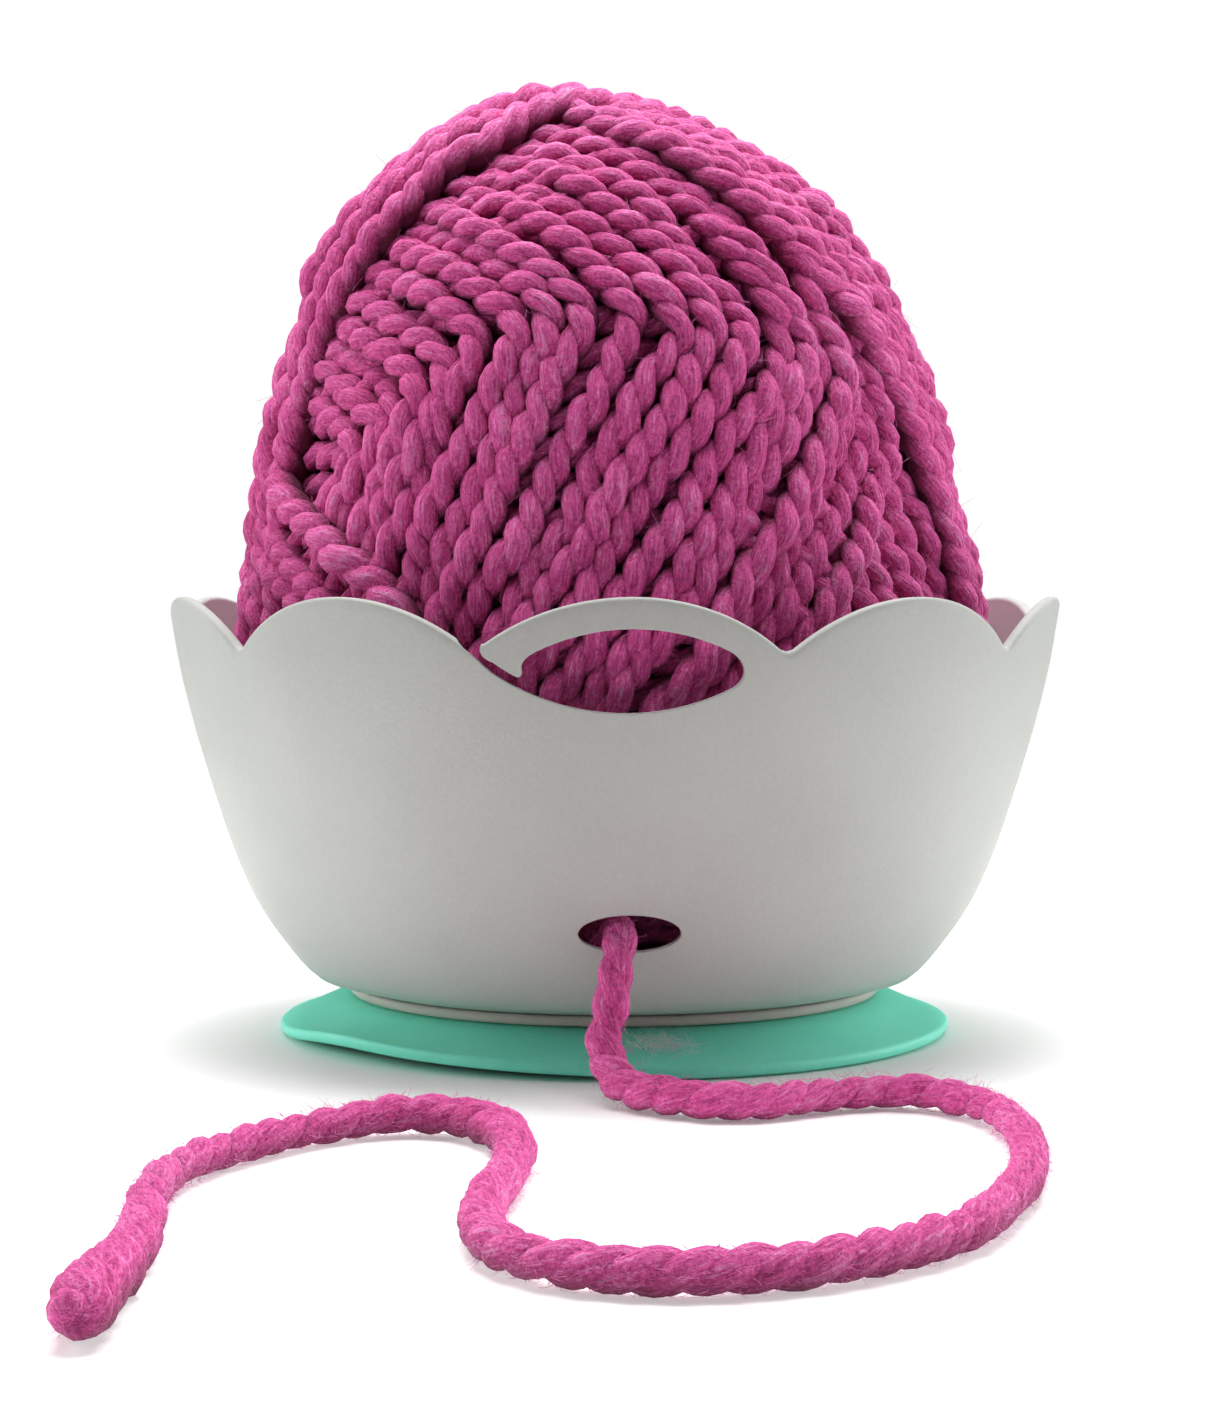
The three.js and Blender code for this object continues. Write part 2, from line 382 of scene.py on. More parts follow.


# %% [markdown]
# ## Wool
# The yarn is dyed a deep pink. Its short fibres could come from an image of wool, but that would show its
# seams. They run nearly along each ply, so the colour and the bump are noise stretched a long way along
# the strand, with an even fluff over it; the palest streaks are partly painted glints. The colour is also
# darkened with painted shade where `crown` says that a point faces its neighbours, and where `crease`
# says that the two plies meet.

# %% Wool
def wool_material():
    wool = Nodes("magenta_wool", Sheen_Weight=0.12, Sheen_Roughness=0.5)
    wool.set("Sheen Tint", (1.0, 0.45, 0.75, 1))
    wool.set("Specular IOR Level", 0.4)
    fibre = wool.add("ShaderNodeAttribute", {"attribute_name": "fibre"}, output="Vector")
    crown = wool.add("ShaderNodeAttribute", {"attribute_name": "crown"}, output="Fac")
    crease = wool.add("ShaderNodeAttribute", {"attribute_name": "crease"}, output="Fac")
    streaks = wool.add("ShaderNodeMapping", None, {"Vector": fibre, "Scale": (1, 1, 0.16)})
    here = wool.object_coords()
    fine = wool.noise(streaks, 3600, detail=3, roughness=0.7)
    clumps = wool.noise(streaks, 900, detail=2)
    fluff = wool.noise(here, 1700, detail=3, roughness=0.75)
    patches = wool.noise(here, 60, detail=2)
    tone = (fine * 0.55 + clumps * 0.25 + fluff * 0.4 + patches * 0.2 - 0.2).clamp(0, 1)
    # The palest stop is partly the fibres' own lighter colour and partly painted glints along them.
    lit = wool.ramp(tone, (0.34, (0.46, 0.018, 0.16, 1)), (0.52, (0.92, 0.098, 0.43, 1)),
                    (0.70, (1.0, 0.40, 0.74, 1)))
    # Painted shade: sides and undersides by crown, the plies' groove by crease, mixed towards a dark colour.
    depth = (crown * 1.35 + 0.30 + (fluff - 0.5) * 0.7).clamp(0, 1)
    painted_seam_shade = (crease + 0.12 + (fluff - 0.5) * 0.5).clamp(0, 1)
    wool.set("Base Color", wool.mix(depth * painted_seam_shade, (0.13, 0.004, 0.040, 1), lit))
    wool.set("Roughness", (0.95 - fine * 0.5).clamp(0, 1))
    wool.set("Normal", wool.bump(fine * 0.6 + clumps * 0.5 + fluff * 1.1, 0.6 * MM))
    return wool.material


def stray_fibre_material():
    stray = Nodes("stray_fibre", Roughness=0.55)
    tint = stray.noise(stray.object_coords(), 250, detail=1)
    stray.set("Base Color", stray.ramp(tint, (0.35, (0.66, 0.09, 0.36, 1)), (0.65, (0.95, 0.34, 0.68, 1))))
    return stray.material


wool = wool_material()
stray_fibre = stray_fibre_material()
print("wool has", len(wool.node_tree.nodes), "nodes, stray fibre has", len(stray_fibre.node_tree.nodes))

# %% [markdown]
# Wool never ends at its outline. Hair particles could do this, but they would not be part of any mesh. So
# thousands of loose fibres, each a fine bent tube of four sides, lean off the plies and soften every edge.

# %% Lay the loose fibres
FIBRE_WIDTH = 0.07 * MM
FIBRE_POINTS = 4
FIBRE_CURL = 0.45


def loose_fibres(name, strands, spacing, length, seed, spread=0.55, rise=0.35):
    """One fibre for each spacing of yarn. spread is how far round the strand they grow, in half turns."""
    rng = np.random.default_rng(seed)
    share = np.linspace(0, 1, FIBRE_POINTS)[:, None]
    fibres = []
    for line, away in strands:
        tangent = unit(np.gradient(line, axis=0))
        for at in rng.integers(1, len(line) - 1, int(along(line)[-1] / spacing)):
            lean = rng.uniform(-spread, spread) * math.pi
            out = math.cos(lean) * away[at] + math.sin(lean) * np.cross(tangent[at], away[at])
            run = tangent[at] * rng.choice((-1, 1))
            reach = length * rng.uniform(0.4, 1.3)
            curl = rng.normal(0, FIBRE_CURL, 3)
            path = line[at] + out * (PLY_OFFSET + 0.7 * PLY_RADIUS)
            path = path + reach * (share * (0.75 * run + rise * out) + share ** 2 * (curl - 0.3 * out))
            path[:, 2] = np.maximum(path[:, 2], FIBRE_WIDTH)
            fibres.append((path, np.linspace(1, 0.5, len(path))))
    return tubes(name, fibres, FIBRE_WIDTH / 2, 0)


print("a loose fibre is", round(FIBRE_WIDTH / MM, 3), "mm wide")

# %% [markdown]
# ## The free yarn
# It leaves the outlet, hangs over the foot and lies on the table to its cut end. A limp strand lies in
# wide, smooth bends, so the route is a short list of points with a smooth curve through them. It is the
# list that the frame's own tube follows, in millimetres.

# %% The free yarn's route
TABLE_YARN = 2.85
EXIT_HEIGHT = 23.3
TAIL_START = -59
EXIT_X = -1.5
FROM_OUTLET = [
    (EXIT_X, TAIL_START, EXIT_HEIGHT), (EXIT_X, -60.8, EXIT_HEIGHT), (-1.7, -63.6, 22.3),
    (-2.2, -66.2, 19.2), (-2.9, -67.6, 14.8), (-3.8, -68.9, 10.2), (-4.0, -71.6, 6.6),
    (-3.0, -75.4, 4.1),
]
ON_TABLE = [
    (-0.3, -80.0), (4.2, -84.6), (9.4, -88.4), (15.9, -89.4), (22.9, -85.9), (30.0, -82.3),
    (37.3, -80.7), (43.9, -84.3), (48.6, -93.6), (50.2, -110.0), (48.2, -129.4), (41.7, -151.6),
    (33.0, -169.4), (23.4, -179.2), (12.8, -185.5), (1.4, -188.4), (-8.8, -186.4), (-16.6, -180.9),
    (-20.8, -171.4), (-21.3, -157.3), (-17.9, -131.3), (-17.8, -118.4), (-20.0, -108.2), (-25.2, -100.6),
    (-33.0, -98.4), (-41.4, -102.4), (-48.8, -110.4), (-55.5, -120.4), (-60.1, -132.3), (-61.4, -148.2),
    (-59.9, -168.8), (-61.1, -208.1),
]
TAIL_ROUTE = FROM_OUTLET + [(x, y, TABLE_YARN) for x, y in ON_TABLE]


def curve_through(points, step):
    """A smooth line through points in millimetres: centripetal Catmull-Rom, given back in metres."""
    p = np.array(points, float) * MM
    p = np.concatenate([[2 * p[0] - p[1]], p, [2 * p[-1] - p[-2]]])
    line = []
    for a, b, c, d in zip(p, p[1:], p[2:], p[3:]):
        t1 = np.linalg.norm(b - a) ** 0.5
        t2 = t1 + np.linalg.norm(c - b) ** 0.5
        t3 = t2 + np.linalg.norm(d - c) ** 0.5
        t = np.linspace(t1, t2, 24, endpoint=False)[:, None]
        a1 = (t1 - t) / t1 * a + t / t1 * b
        a2 = (t2 - t) / (t2 - t1) * b + (t - t1) / (t2 - t1) * c
        a3 = (t3 - t) / (t3 - t2) * c + (t - t2) / (t3 - t2) * d
        b1 = (t2 - t) / t2 * a1 + t / t2 * a2
        b2 = (t3 - t) / (t3 - t1) * a2 + (t - t1) / (t3 - t1) * a3
        line.extend((t2 - t) / (t2 - t1) * b1 + (t - t1) / (t2 - t1) * b2)
    line.append(p[-2])
    return evenly(np.array(line), step)


def carried_up(line):
    """A direction square to the line that turns as little as it can."""
    tangent = unit(np.gradient(line, axis=0))
    up = np.array([0.0, 0.3, 1.0])
    ups = []
    for t in tangent:
        up = up - np.dot(up, t) * t
        up = up / np.linalg.norm(up)
        ups.append(up)
    return np.array(ups)


print("the free yarn's route has", len(TAIL_ROUTE), "points")

# %% [markdown]
# The strand isn't a plain tube along that route. It beds down on the outlet's lower edge, thins where it
# was pulled and swells towards its cut end, where nothing holds the twist. Its plies are pressed further
# into each other than in the skein, and it is flat underneath, where it lies on the table.

# %% Yarn tail
LIP_SAG = 0.8 * MM
SAG_REACH = 12 * MM
TAIL_PLUMP = [  # share of the length, thickness
    (0, 1), (0.09, 1), (0.14, 0.86), (0.30, 0.90), (0.55, 0.98), (0.63, 0.94), (0.70, 1.08),
    (0.76, 0.86), (0.87, 0.88), (0.93, 0.98), (0.97, 1.28), (1, 1.2),
]


def bedded_down(line):
    """The yarn is soft, so it sinks a little onto the outlet's lower edge."""
    outlet = np.array([EXIT_X, TAIL_START, EXIT_HEIGHT]) * MM
    near = 1 - np.linalg.norm(line - outlet, axis=1) / SAG_REACH
    return line - np.outer(LIP_SAG * np.clip(near, 0, 1), (0, 0, 1))


tail_line = bedded_down(curve_through(TAIL_ROUTE, YARN_STEP))
tail_plump = np.interp(along(tail_line) / along(tail_line)[-1], *np.array(TAIL_PLUMP).T)
tail_line[:, 2] += (tail_plump - 1) * TABLE_YARN * MM
tail_strand = [(tail_line, carried_up(tail_line))]
# Its sides and underside are darkened with painted shade, less than in the skein's strands.
tail_mesh = yarn_mesh("yarn_tail_plies", tail_strand, seed=5, side_shade=0.6, bevel_setting=4, loft=1.24,
                      twist=0.62, plump=tail_plump)
for vert in tail_mesh.vertices:
    vert.co.z = max(vert.co.z, 0)
tail = finished(link("yarn_tail_plies", tail_mesh), wool, "bowl", "yarn_tail")
tail_fuzz_mesh = loose_fibres("yarn_tail_fuzz", tail_strand, 0.09 * MM, 1.2 * MM, seed=7, spread=1.0,
                              rise=0.75)
tail_fuzz = finished(link("yarn_tail_fuzz", tail_fuzz_mesh), stray_fibre, "bowl", None)
tail_length = float(along(tail_line)[-1])
print("free yarn is", round(tail_length, 4), "m long")

# %% [markdown]
# Inside the bowl a short lead joins the skein to the outlet. It would tear off one or the other if it rode
# on a single body, so it rides on neither.

# %% Yarn lead inside the bowl
LEAD_ROUTE = [
    (-9, -41.5, 14.2), (-5.5, -46.4, 16.3), (-2.6, -50.4, 20.4), (-1.6, -53.8, 23.0),
    (EXIT_X, TAIL_START + 2.6, EXIT_HEIGHT), (EXIT_X, TAIL_START + 0.3, EXIT_HEIGHT),
]
lead_line = bedded_down(curve_through(LEAD_ROUTE, YARN_STEP))
lead_strand = [(lead_line, carried_up(lead_line))]
# Its underside is darkened a little with painted shade, less than in the skein's strands.
lead = link("yarn_lead_plies", yarn_mesh("yarn_lead_plies", lead_strand, seed=6, side_shade=0.4))
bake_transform(lead)
finished(lead, wool, None, "yarn_lead")

# %% [markdown]
# ## The skein
# A centre-pull skein is wound by a machine: each strand climbs one flank, turns on the shoulder and comes
# back down, so its turns nest in rows of arrowheads. A few last turns run over the top and hold it
# together. A simulated winding would be hard to steer, so each group of neighbouring strands is laid
# between a few guide rows, and every strand is pressed onto one turned shape, the skein's surface.

# %% The skein's surface
SKEIN_CENTRE = np.array([0.0, 0.0, 80.0]) * MM
SKEIN_PROFILE = [
    (0, 11.2), (24, 11.2), (33, 13.4), (43.5, 21), (53, 32), (60, 45), (64, 60), (63.6, 76), (60.4, 92),
    (57.2, 108), (54.6, 116), (51.6, 125), (45.5, 136), (36, 147), (23, 155), (11, 159.8), (0, 161.2),
]
SWAY = 0.5 * MM
WAVER = 0.55 * MM
LEAN = [(75, 0), (92, 1.0), (108, 1.6), (125, 2.2), (136, 2.8), (147, 4.6), (155, 6.0), (162, 7.5)]
profile = np.array(SKEIN_PROFILE) * MM
profile_reach = np.hypot(profile[:, 0], profile[:, 1] - SKEIN_CENTRE[2])
profile_slope = np.arctan2(profile[:, 1] - SKEIN_CENTRE[2], profile[:, 0])


def on_skein(points, lift):
    """Moves points along rays from the skein's centre to its surface, raised by lift."""
    ray = points - SKEIN_CENTRE
    slope = np.arctan2(ray[:, 2], np.hypot(ray[:, 0], ray[:, 1]))
    reach = np.interp(slope, profile_slope, profile_reach) + lift
    return SKEIN_CENTRE + unit(ray) * reach[:, None]


def place(angle, height, depth):
    """A place on the skein, with how deep a strand's middle lies there."""
    radius = np.interp(height * MM, profile[:, 1], profile[:, 0])
    turn = math.radians(angle)
    return np.array([radius * math.sin(turn), -radius * math.cos(turn), height * MM, depth * MM])


def laid(rows, count, corner, rng):
    """count strands, spread evenly between guide rows and pressed onto the skein; corner rounds bends."""
    guides = np.array([[place(*spot) for spot in row] for row in rows])
    strands = []
    for i in range(count):
        share = i / max(1, count - 1) * (len(rows) - 1)
        low = min(int(share), len(rows) - 2)
        spots = guides[low] + (guides[low + 1] - guides[low]) * (share - low)
        dense = evenly(spots[:, :3], 1.0 * MM)
        depth = np.interp(along(dense), along(spots[:, :3]), spots[:, 3])
        line = on_skein(smoothed(on_skein(dense, 0 * depth), corner), -depth)
        line = evenly(smoothed(line, 3), YARN_STEP)
        sway = rng.normal(0, SWAY, 3)
        wave = np.stack([slow_noise(rng, len(line), 8, WAVER) for _ in range(3)], axis=1)
        line = line + sway + wave
        strands.append((line, unit(line - SKEIN_CENTRE)))
    return strands


def leaned(points):
    """The finished skein slumps a few millimetres to the left towards its top."""
    height, shift = np.array(LEAN).T * MM
    return points - np.outer(np.interp(points[:, 2], height, shift), (1, 0, 0))


def half_turn(strands):
    turned = np.array([-1.0, -1.0, 1.0])
    return [(line * turned, away * turned) for line, away in strands]


print("the skein's surface reaches", SKEIN_PROFILE[-1][1], "mm up")

# %% [markdown]
# Five groups of strands make up the front: the arrowheads, a band down either side, and strands that cross
# low down on either side. A rule could lay them all alike, but a skein that has been handled follows none,
# so a few rows in each group are listed one by one and the rest lie evenly between them. A row is a list of
# places: an angle from the front in degrees, a height, and how deep the strand's middle lies, both in
# millimetres.

# %% Guide rows
CHEVRONS = [
    [(-78, 112, 8), (-46, 98, 5), (-80, 58, 5), (-96, 15, 4)],
    [(-72, 123, 8), (-34, 108, 4.4), (-62, 48, 5), (-78, 15, 4)],
    [(-66, 134, 8), (-20, 117, 4), (-49, 42, 4.6), (-62, 15, 4)],
    [(-60, 143, 8), (-2, 119, 4), (-42, 40, 4.6), (-52, 15, 4)],
    [(-52, 151, 8), (18, 118, 4), (-36, 40, 4.6), (-44, 15, 4)],
    [(-44, 156, 7.5), (34, 113, 4.4), (-25, 40, 4.6), (-34, 15, 4)],
    [(-26, 158, 7), (45, 110, 4.8), (-11, 40, 4.8), (-22, 15, 4)],
    [(6, 158, 7), (53, 99, 5), (2, 42, 5), (-10, 15, 4)],
]
LEFT_BAND = [
    [(-60, 30, 4), (-66, 45, 3.4), (-68, 73, 3.4), (-71, 94, 3.4), (-69, 116, 3.4), (-59, 130, 3.4),
     (-47, 143, 3.4), (-33, 152, 3.6), (4, 158, 4), (60, 156, 4), (100, 140, 5)],
    [(-80, 30, 4), (-84, 45, 3.4), (-88, 73, 3.4), (-91, 94, 3.4), (-91, 116, 3.4), (-86, 133, 3.4),
     (-78, 146, 3.4), (-66, 156, 3.6), (100, 161, 4), (112, 150, 4), (118, 136, 5)],
]
RIGHT_BAND = [
    [(-30, 158, 5), (14, 150, 4), (36, 134, 3.8), (50, 118, 3.8), (58, 102, 3.8), (63, 80, 4), (66, 30, 5)],
    [(-50, 160, 6), (30, 157, 4), (64, 145, 3.6), (78, 130, 3.6), (84, 108, 3.6), (88, 80, 3.6),
     (91, 30, 4)],
]
LOWER_RIGHT = [
    [(14, 96, 7), (26, 72, 6.2), (36, 48, 5.5), (44, 15, 4)],
    [(50, 112, 7), (60, 82, 5.6), (68, 48, 5.2), (80, 15, 4)],
]
LOWER_LEFT = [
    [(-94, 98, 4), (-66, 90, 3.4), (-40, 76, 3.2), (-14, 52, 3)],
    [(-94, 84, 4), (-66, 77, 3.4), (-44, 64, 3.2), (-26, 46, 3)],
]
print("the arrowheads are steered by", len(CHEVRONS), "rows")

# %% [markdown]
# Each group becomes one piece. The back of the skein could have rows of its own, but a machine's winding
# is nearly the same on both sides, so it is the front turned half round. Loft swells a group's plies
# until neighbours touch, and `SOFT_TWIST` presses the two plies of a strand together.

# %% Wind the skein
GROUPS = {  # guide rows, strands, how far their bends are rounded, loft
    "chevrons": (CHEVRONS, 20, 3, 1.10),
    "right_band": (RIGHT_BAND, 8, 6, 1.14),
    "left_band": (LEFT_BAND, 4, 8, 1.32),
    "lower_right": (LOWER_RIGHT, 7, 4, 1.12),
    "lower_left": (LOWER_LEFT, 3, 6, 1.25),
}
SOFT_TWIST = 0.85

rng = np.random.default_rng(11)
skein_strands = []
for number, (group, (rows, count, corner, loft)) in enumerate(GROUPS.items()):
    strands = laid(rows, count, corner, rng)
    for side, laid_here in (("front", strands), ("back", half_turn(strands))):
        name = "skein_" + group + "_" + side
        leaning = [(leaned(line), away) for line, away in laid_here]
        skein_strands += leaning
        piece = link(name, yarn_mesh(name, leaning, seed=20 + number, loft=loft, twist=SOFT_TWIST))
        finished(piece, wool, "yarn_ball", None)
print("the skein's outside holds", round(sum(along(line)[-1] for line, _ in skein_strands), 2), "m of yarn")

# %% [markdown]
# More yarn shows dark in the gaps between the outer strands. The whole inside could be wound, but only its
# outermost layer is ever seen, so it is a single strand, wound from the top to the foot below the surface.

# %% Inner winding
INNER_PITCH = 6.0 * MM
INNER_DEPTH = 7.8 * MM
INNER_STEP = 2.2 * MM
INNER_FROM_TOP = 8 * MM
INNER_FROM_FOOT = 26 * MM
INNER_POINTS = 16000


def inner_winding():
    reach = along(profile[::-1])
    rows = np.linspace(INNER_FROM_TOP, reach[-1] - INNER_FROM_FOOT, INNER_POINTS)
    radius, height = (np.interp(rows, reach, profile[::-1, i]) for i in range(2))
    turn = 2 * math.pi * rows / INNER_PITCH
    line = np.stack([radius * np.cos(turn), radius * np.sin(turn), height], axis=1)
    line = evenly(on_skein(line, -INNER_DEPTH), INNER_STEP)
    return [(line, unit(line - SKEIN_CENTRE))]


inner = [(leaned(line), away) for line, away in inner_winding()]
inner_mesh = yarn_mesh("skein_inner", inner, seed=29, bevel_setting=1, loft=1.1)
finished(link("skein_inner", inner_mesh), wool, "yarn_ball", None)

# %% [markdown]
# The same loose fibres as on the free yarn grow out of the skein's outer strands, but longer and further
# apart. They are in two pieces, each with every second strand, because one mesh would be unhandy.

# %% Fuzz on the skein
FUZZ_SPACING = 1.5 * MM
FUZZ_LENGTH = 2.8 * MM

for number in range(2):
    name = "skein_fuzz_" + str(number + 1)
    fuzz_mesh = loose_fibres(name, skein_strands[number::2], FUZZ_SPACING, FUZZ_LENGTH, seed=31 + number)
    finished(link(name, fuzz_mesh), stray_fibre, "yarn_ball", None)

# %% [markdown]
# The skein's underside is seen only when it is lifted out. The yarn there lies in a flat coil, so a spiral
# of points is enough. The core is the solid wool behind all strands: turned, a size smaller than the
# skein, and there to close every gap against the light. It has no `crown` or `crease`, so the wool paints
# it almost all over in its dark colour, as painted shade.

# %% Skein's underside and core
COIL_HEIGHT = 14.2 * MM
COIL_GROWTH = 0.87 * MM  # for each radian
turns = np.linspace(1.2, 11.6, 520) * math.pi
spiral = np.stack([np.cos(turns) * turns * COIL_GROWTH, np.sin(turns) * turns * COIL_GROWTH,
                   np.full(len(turns), COIL_HEIGHT)], axis=1)
spiral = evenly(spiral, YARN_STEP)
under = np.tile((0.0, 0.0, -1.0), (len(spiral), 1))
coil_mesh = yarn_mesh("skein_end_coil", [(spiral, under)], seed=33)
finished(link("skein_end_coil", coil_mesh), wool, "yarn_ball", None)

CORE_DEPTH = 9.5
CORE_RAISE = 4.5
CORE_WAIST = 40
SKEIN_TOP = 162


def core_height(height):
    """The core stops short of the skein at its foot and at its top."""
    if height < CORE_WAIST:
        return height + CORE_RAISE
    return height - CORE_DEPTH * height / SKEIN_TOP


core_profile = [(max(r - CORE_DEPTH, 0), core_height(z)) for r, z in SKEIN_PROFILE]
core_mesh = spin_profile("skein_core", core_profile, 96)
for vert in core_mesh.vertices:
    vert.co = leaned(np.array(vert.co)[None])[0]
# With no crown or crease on it, the core takes the wool's dark painted-shade colour nearly all over.
finished(link("skein_core", core_mesh), wool, "yarn_ball", "yarn_ball")

# %% [markdown]
# ## The bowl's shell
# The shell is one moulding, two millimetres thick. The scallops could be cut out of a plain bowl with ten
# round cutters, but the cut lip would be flat. So its section, with a rounded lip, is spun once round, and
# then the points near the lip are lowered, and the rim falls from ten lobes into ten notches. Doing it to
# the spun mesh keeps the lip's round section all the way along the wave.

# %% Spin the shell
WALL = 2.0
UNDERSIDE = 8.4
FLOOR = 10.9
RIM_HEIGHT = 74.0
RIM_RADIUS = 76.0
LIP_ROUND = 0.7
LIP_STEPS = 8
SHELL_STEPS = 400
WALL_GUIDE = [(45.6, UNDERSIDE), (49.9, 9.1), (52.6, 10.8), (56.7, 15.6), (61.3, 22.5), (65.1, 31.1),
              (69.0, 43), (71.7, 52.5), (74.1, 62.5), (RIM_RADIUS, RIM_HEIGHT)]
wall_line = curve_through([(r, 0, z) for r, z in WALL_GUIDE], 0.25 * MM)[:, [0, 2]] / MM


def wall_radius(height):
    return float(np.interp(height, wall_line[:, 1], wall_line[:, 0]))


def shell_profile():
    """The shell's section: underside, outside, lip, inside and floor, as (radius, height)."""
    outside = [(wall_radius(z), z) for z in np.linspace(UNDERSIDE + 0.05, RIM_HEIGHT - LIP_ROUND, 46)]
    lip_centre = RIM_HEIGHT - LIP_ROUND
    outer = wall_radius(lip_centre)
    lip = []
    for i in range(1, LIP_STEPS + 1):
        turn = math.pi / (2 * LIP_STEPS) * i
        lip.append((outer - LIP_ROUND * (1 - math.cos(turn)), lip_centre + LIP_ROUND * math.sin(turn)))
    for i in range(LIP_STEPS):
        turn = math.pi / (2 * LIP_STEPS) * i
        lip.append((outer - WALL + LIP_ROUND * (1 - math.sin(turn)),
                    lip_centre + LIP_ROUND * math.cos(turn)))
    inside = [(wall_radius(z) - WALL, z) for z in np.linspace(RIM_HEIGHT - LIP_ROUND, 13.4, 34)]
    floor = [(50.4, 12.2), (48.2, 11.4), (45, FLOOR), (30, FLOOR), (0, FLOOR)]
    return [(0, UNDERSIDE), (30, UNDERSIDE), (44.6, UNDERSIDE)] + outside + lip + inside + floor


shell_mesh = spin_profile("bowl_shell", shell_profile(), SHELL_STEPS)
print("the spun shell has", len(shell_mesh.vertices), "points")

# %% [markdown]
# Each lobe of the rim is an arc, and neighbouring arcs meet in a notch. The half of the front lobe that
# holds the hook's gap is a little flatter. `rim_drop` gives the fall of the rim at an angle. A point is
# lowered in full near the lip, less further down and not at all below `WAVE_START`, so the wall stretches
# evenly.

# %% Wave the rim
LOBES = 10
LOBE_RADIUS = 37.0
HOOK_LOBE_RADIUS = 41.0
NOTCH_DEPTH = 8.1
NOTCH_ROUND = 1.4
NOTCH_EASE = 0.45
WAVE_START = 56.0
WAVE_FULL = RIM_HEIGHT - 3


def rim_drop(angle):
    """How far the rim lies below its highest point, at an angle from the front."""
    pitch = 2 * math.pi / LOBES
    across = (angle - pitch * round(angle / pitch)) * RIM_RADIUS
    radius = HOOK_LOBE_RADIUS if -pitch / 2 < angle < 0 else LOBE_RADIUS
    drop = radius - math.sqrt(radius ** 2 - across ** 2)
    left = pitch / 2 * RIM_RADIUS - abs(across)
    if left < NOTCH_ROUND:
        drop -= NOTCH_EASE * NOTCH_ROUND * (1 - left / NOTCH_ROUND) ** 2
    return min(drop, NOTCH_DEPTH)


def wave_rim(mesh):
    """Lowers the rim into its notches; each point slides down along the flare of the wall."""
    for vert in mesh.vertices:
        x, y, z = vert.co / MM
        if z > WAVE_START:
            drop = rim_drop(math.atan2(x, -y))
            share = min(1.0, (z - WAVE_START) / (WAVE_FULL - WAVE_START))
            height = z - drop * share
            radius = math.hypot(x, y)
            moved = radius + wall_radius(height) - wall_radius(z)
            vert.co = Vector((x * moved / radius, y * moved / radius, height)) * MM


wave_rim(shell_mesh)
shell = link("bowl_shell", shell_mesh)
print("the shell has", len(shell_mesh.polygons), "faces before it is cut")

# %% [markdown]
# ## The hook and the outlet
# Both go straight through the front wall, as a core in the mould would leave them. The eye is the lens
# between two arcs. At its left the arm ends in a rounded tip, and a gap just over a millimetre wide leads
# up into the notch: yarn is slipped in sideways and can't jump out. The wall's grid could be reshaped
# round the openings, but it is simpler to draw each outline from the front, as (x, height), and cut it
# out.

# %% Outlines of the hook and the outlet
HOOK_BAND = 4.7
EYE_RADIUS = 35.5
EYE_CENTRE = (-1.0, 92.4)
ENTRY_GAP = 1.3
EYE_HALF_WIDTH = 14.2
TIP_X = -15.4
ENTRY_X = -20.7
NOTCH_FLANK = [(-23.4, 76), (-27, 70), (-25.5, 67.15), (-24.9, 66.46), (-24.2, 65.9), (-23.3, 65.15),
               (-22.4, 64.35), (-21.5, 63.55)]
HOLE_HEIGHT, HOLE_WIDTH, HOLE_TALL = 23.1, 15.6, 6.0


def bezier(*points, count=12):
    """Points along a Bezier curve, without its first."""
    line = []
    for i in range(1, count + 1):
        between = [Vector(p) for p in points]
        while len(between) > 1:
            between = [a.lerp(b, i / count) for a, b in zip(between, between[1:])]
        line.append(tuple(between[0]))
    return line


def low_edge(x, radius):
    return EYE_CENTRE[1] - math.sqrt(radius ** 2 - (x - EYE_CENTRE[0]) ** 2)


def arm_edge(x):
    """The arm's inner edge, below the lobe's own arc."""
    return RIM_HEIGHT - LOBE_RADIUS + math.sqrt((LOBE_RADIUS - HOOK_BAND) ** 2 - x ** 2)


def hook_outline():
    """Down the notch, along the eye's floor, back under the arm, round its tip and up the gap."""
    entry = EYE_RADIUS - ENTRY_GAP
    tip = (TIP_X - 1.7, low_edge(TIP_X - 1.7, entry))
    outline = list(NOTCH_FLANK)
    outline += [(x, low_edge(x, EYE_RADIUS)) for x in np.linspace(ENTRY_X, EYE_HALF_WIDTH, 40)]
    outline += bezier(outline[-1], (17.1, 61.7), (17.1, 64.4), (EYE_HALF_WIDTH, arm_edge(EYE_HALF_WIDTH)))
    outline += [(x, arm_edge(x)) for x in np.linspace(EYE_HALF_WIDTH, TIP_X + 1.4, 34)][1:]
    outline += bezier(outline[-1], (TIP_X - 0.9, 65.0), (TIP_X - 1.1, 64.0), (TIP_X - 0.9, 63.2), count=10)
    outline += bezier(outline[-1], (TIP_X - 0.8, tip[1] - 0.1), tip, count=8)
    outline += [(x, low_edge(x, entry)) for x in np.linspace(tip[0], ENTRY_X, 10)][1:]
    outline += bezier(outline[-1], (-22.9, 65.2), (-23.4, 67.2), (-20.2, 68.7), count=18)
    return outline


def oval_outline(count=72):
    turns = [2 * math.pi * i / count for i in range(count)]
    return [(HOLE_WIDTH / 2 * math.cos(t), HOLE_HEIGHT + HOLE_TALL / 2 * math.sin(t)) for t in turns]


print("the hook's outline has", len(hook_outline()), "points, the outlet's", len(oval_outline()))

# %% [markdown]
# Each outline is extruded from front to back into a cutter, and Boolean modifiers take the cutters out of
# the shell. A bevel along the cut would pucker on so fine a mesh, so the plastic's material rounds its
# edges off instead. The cut leaves points that nearly touch, and `clean_cut` welds those.

